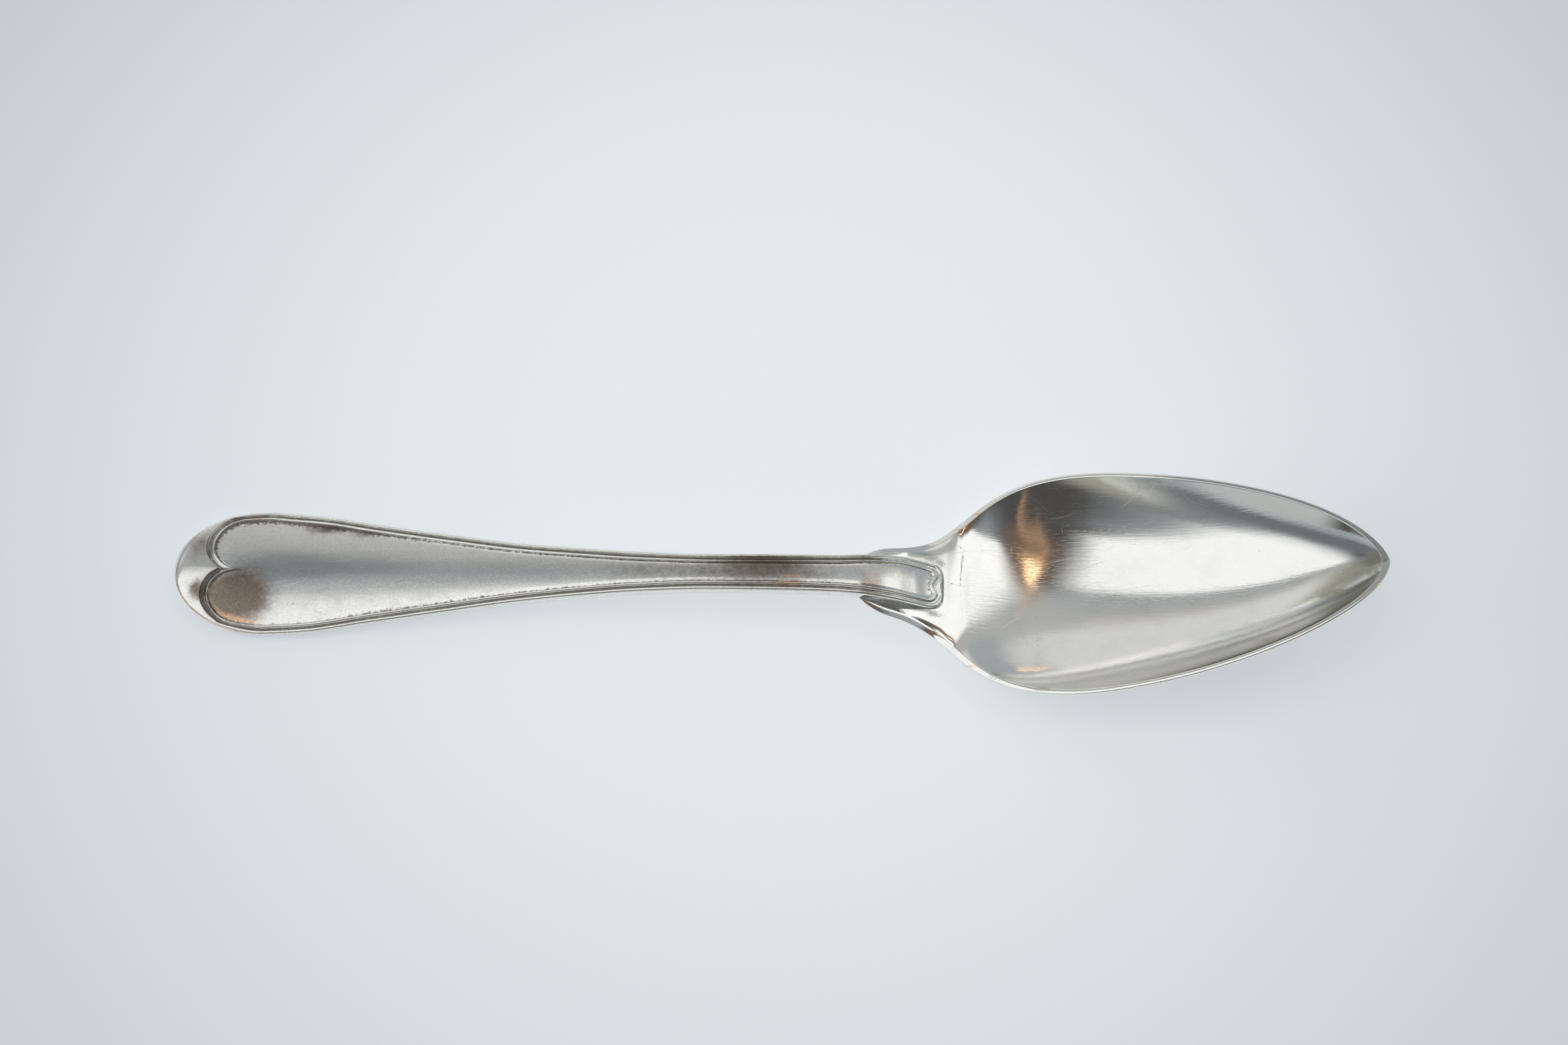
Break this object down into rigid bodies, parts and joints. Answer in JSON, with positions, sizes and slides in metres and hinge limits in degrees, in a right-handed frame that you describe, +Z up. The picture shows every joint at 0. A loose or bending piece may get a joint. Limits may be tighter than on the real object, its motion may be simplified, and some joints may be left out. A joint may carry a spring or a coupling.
{
  "type": "tablespoon",
  "caption": "Silver table spoon with a pointed oval bowl and a tapering handle edged with double threads, lying bowl-up.",
  "frame": {"origin": "centre of the bounding box, at the table face: halfway along the spoon, on its middle plane, where it rests", "axes": "+X from the end of the handle to the tip of the bowl, +Z up out of the bowl, +Y to the left of someone looking from the handle to the bowl"},
  "size_m": [0.21, 0.0424, 0.021],
  "materials": {
    "bowl_silver": "worn polished silver with fine scratches and light tarnish",
    "handle_silver": "worn polished silver with dark tarnish in the thread grooves"
  },
  "bodies": {
    "root": {"bowl": "bowl_silver", "handle": "handle_silver"}
  },
  "joints": []
}
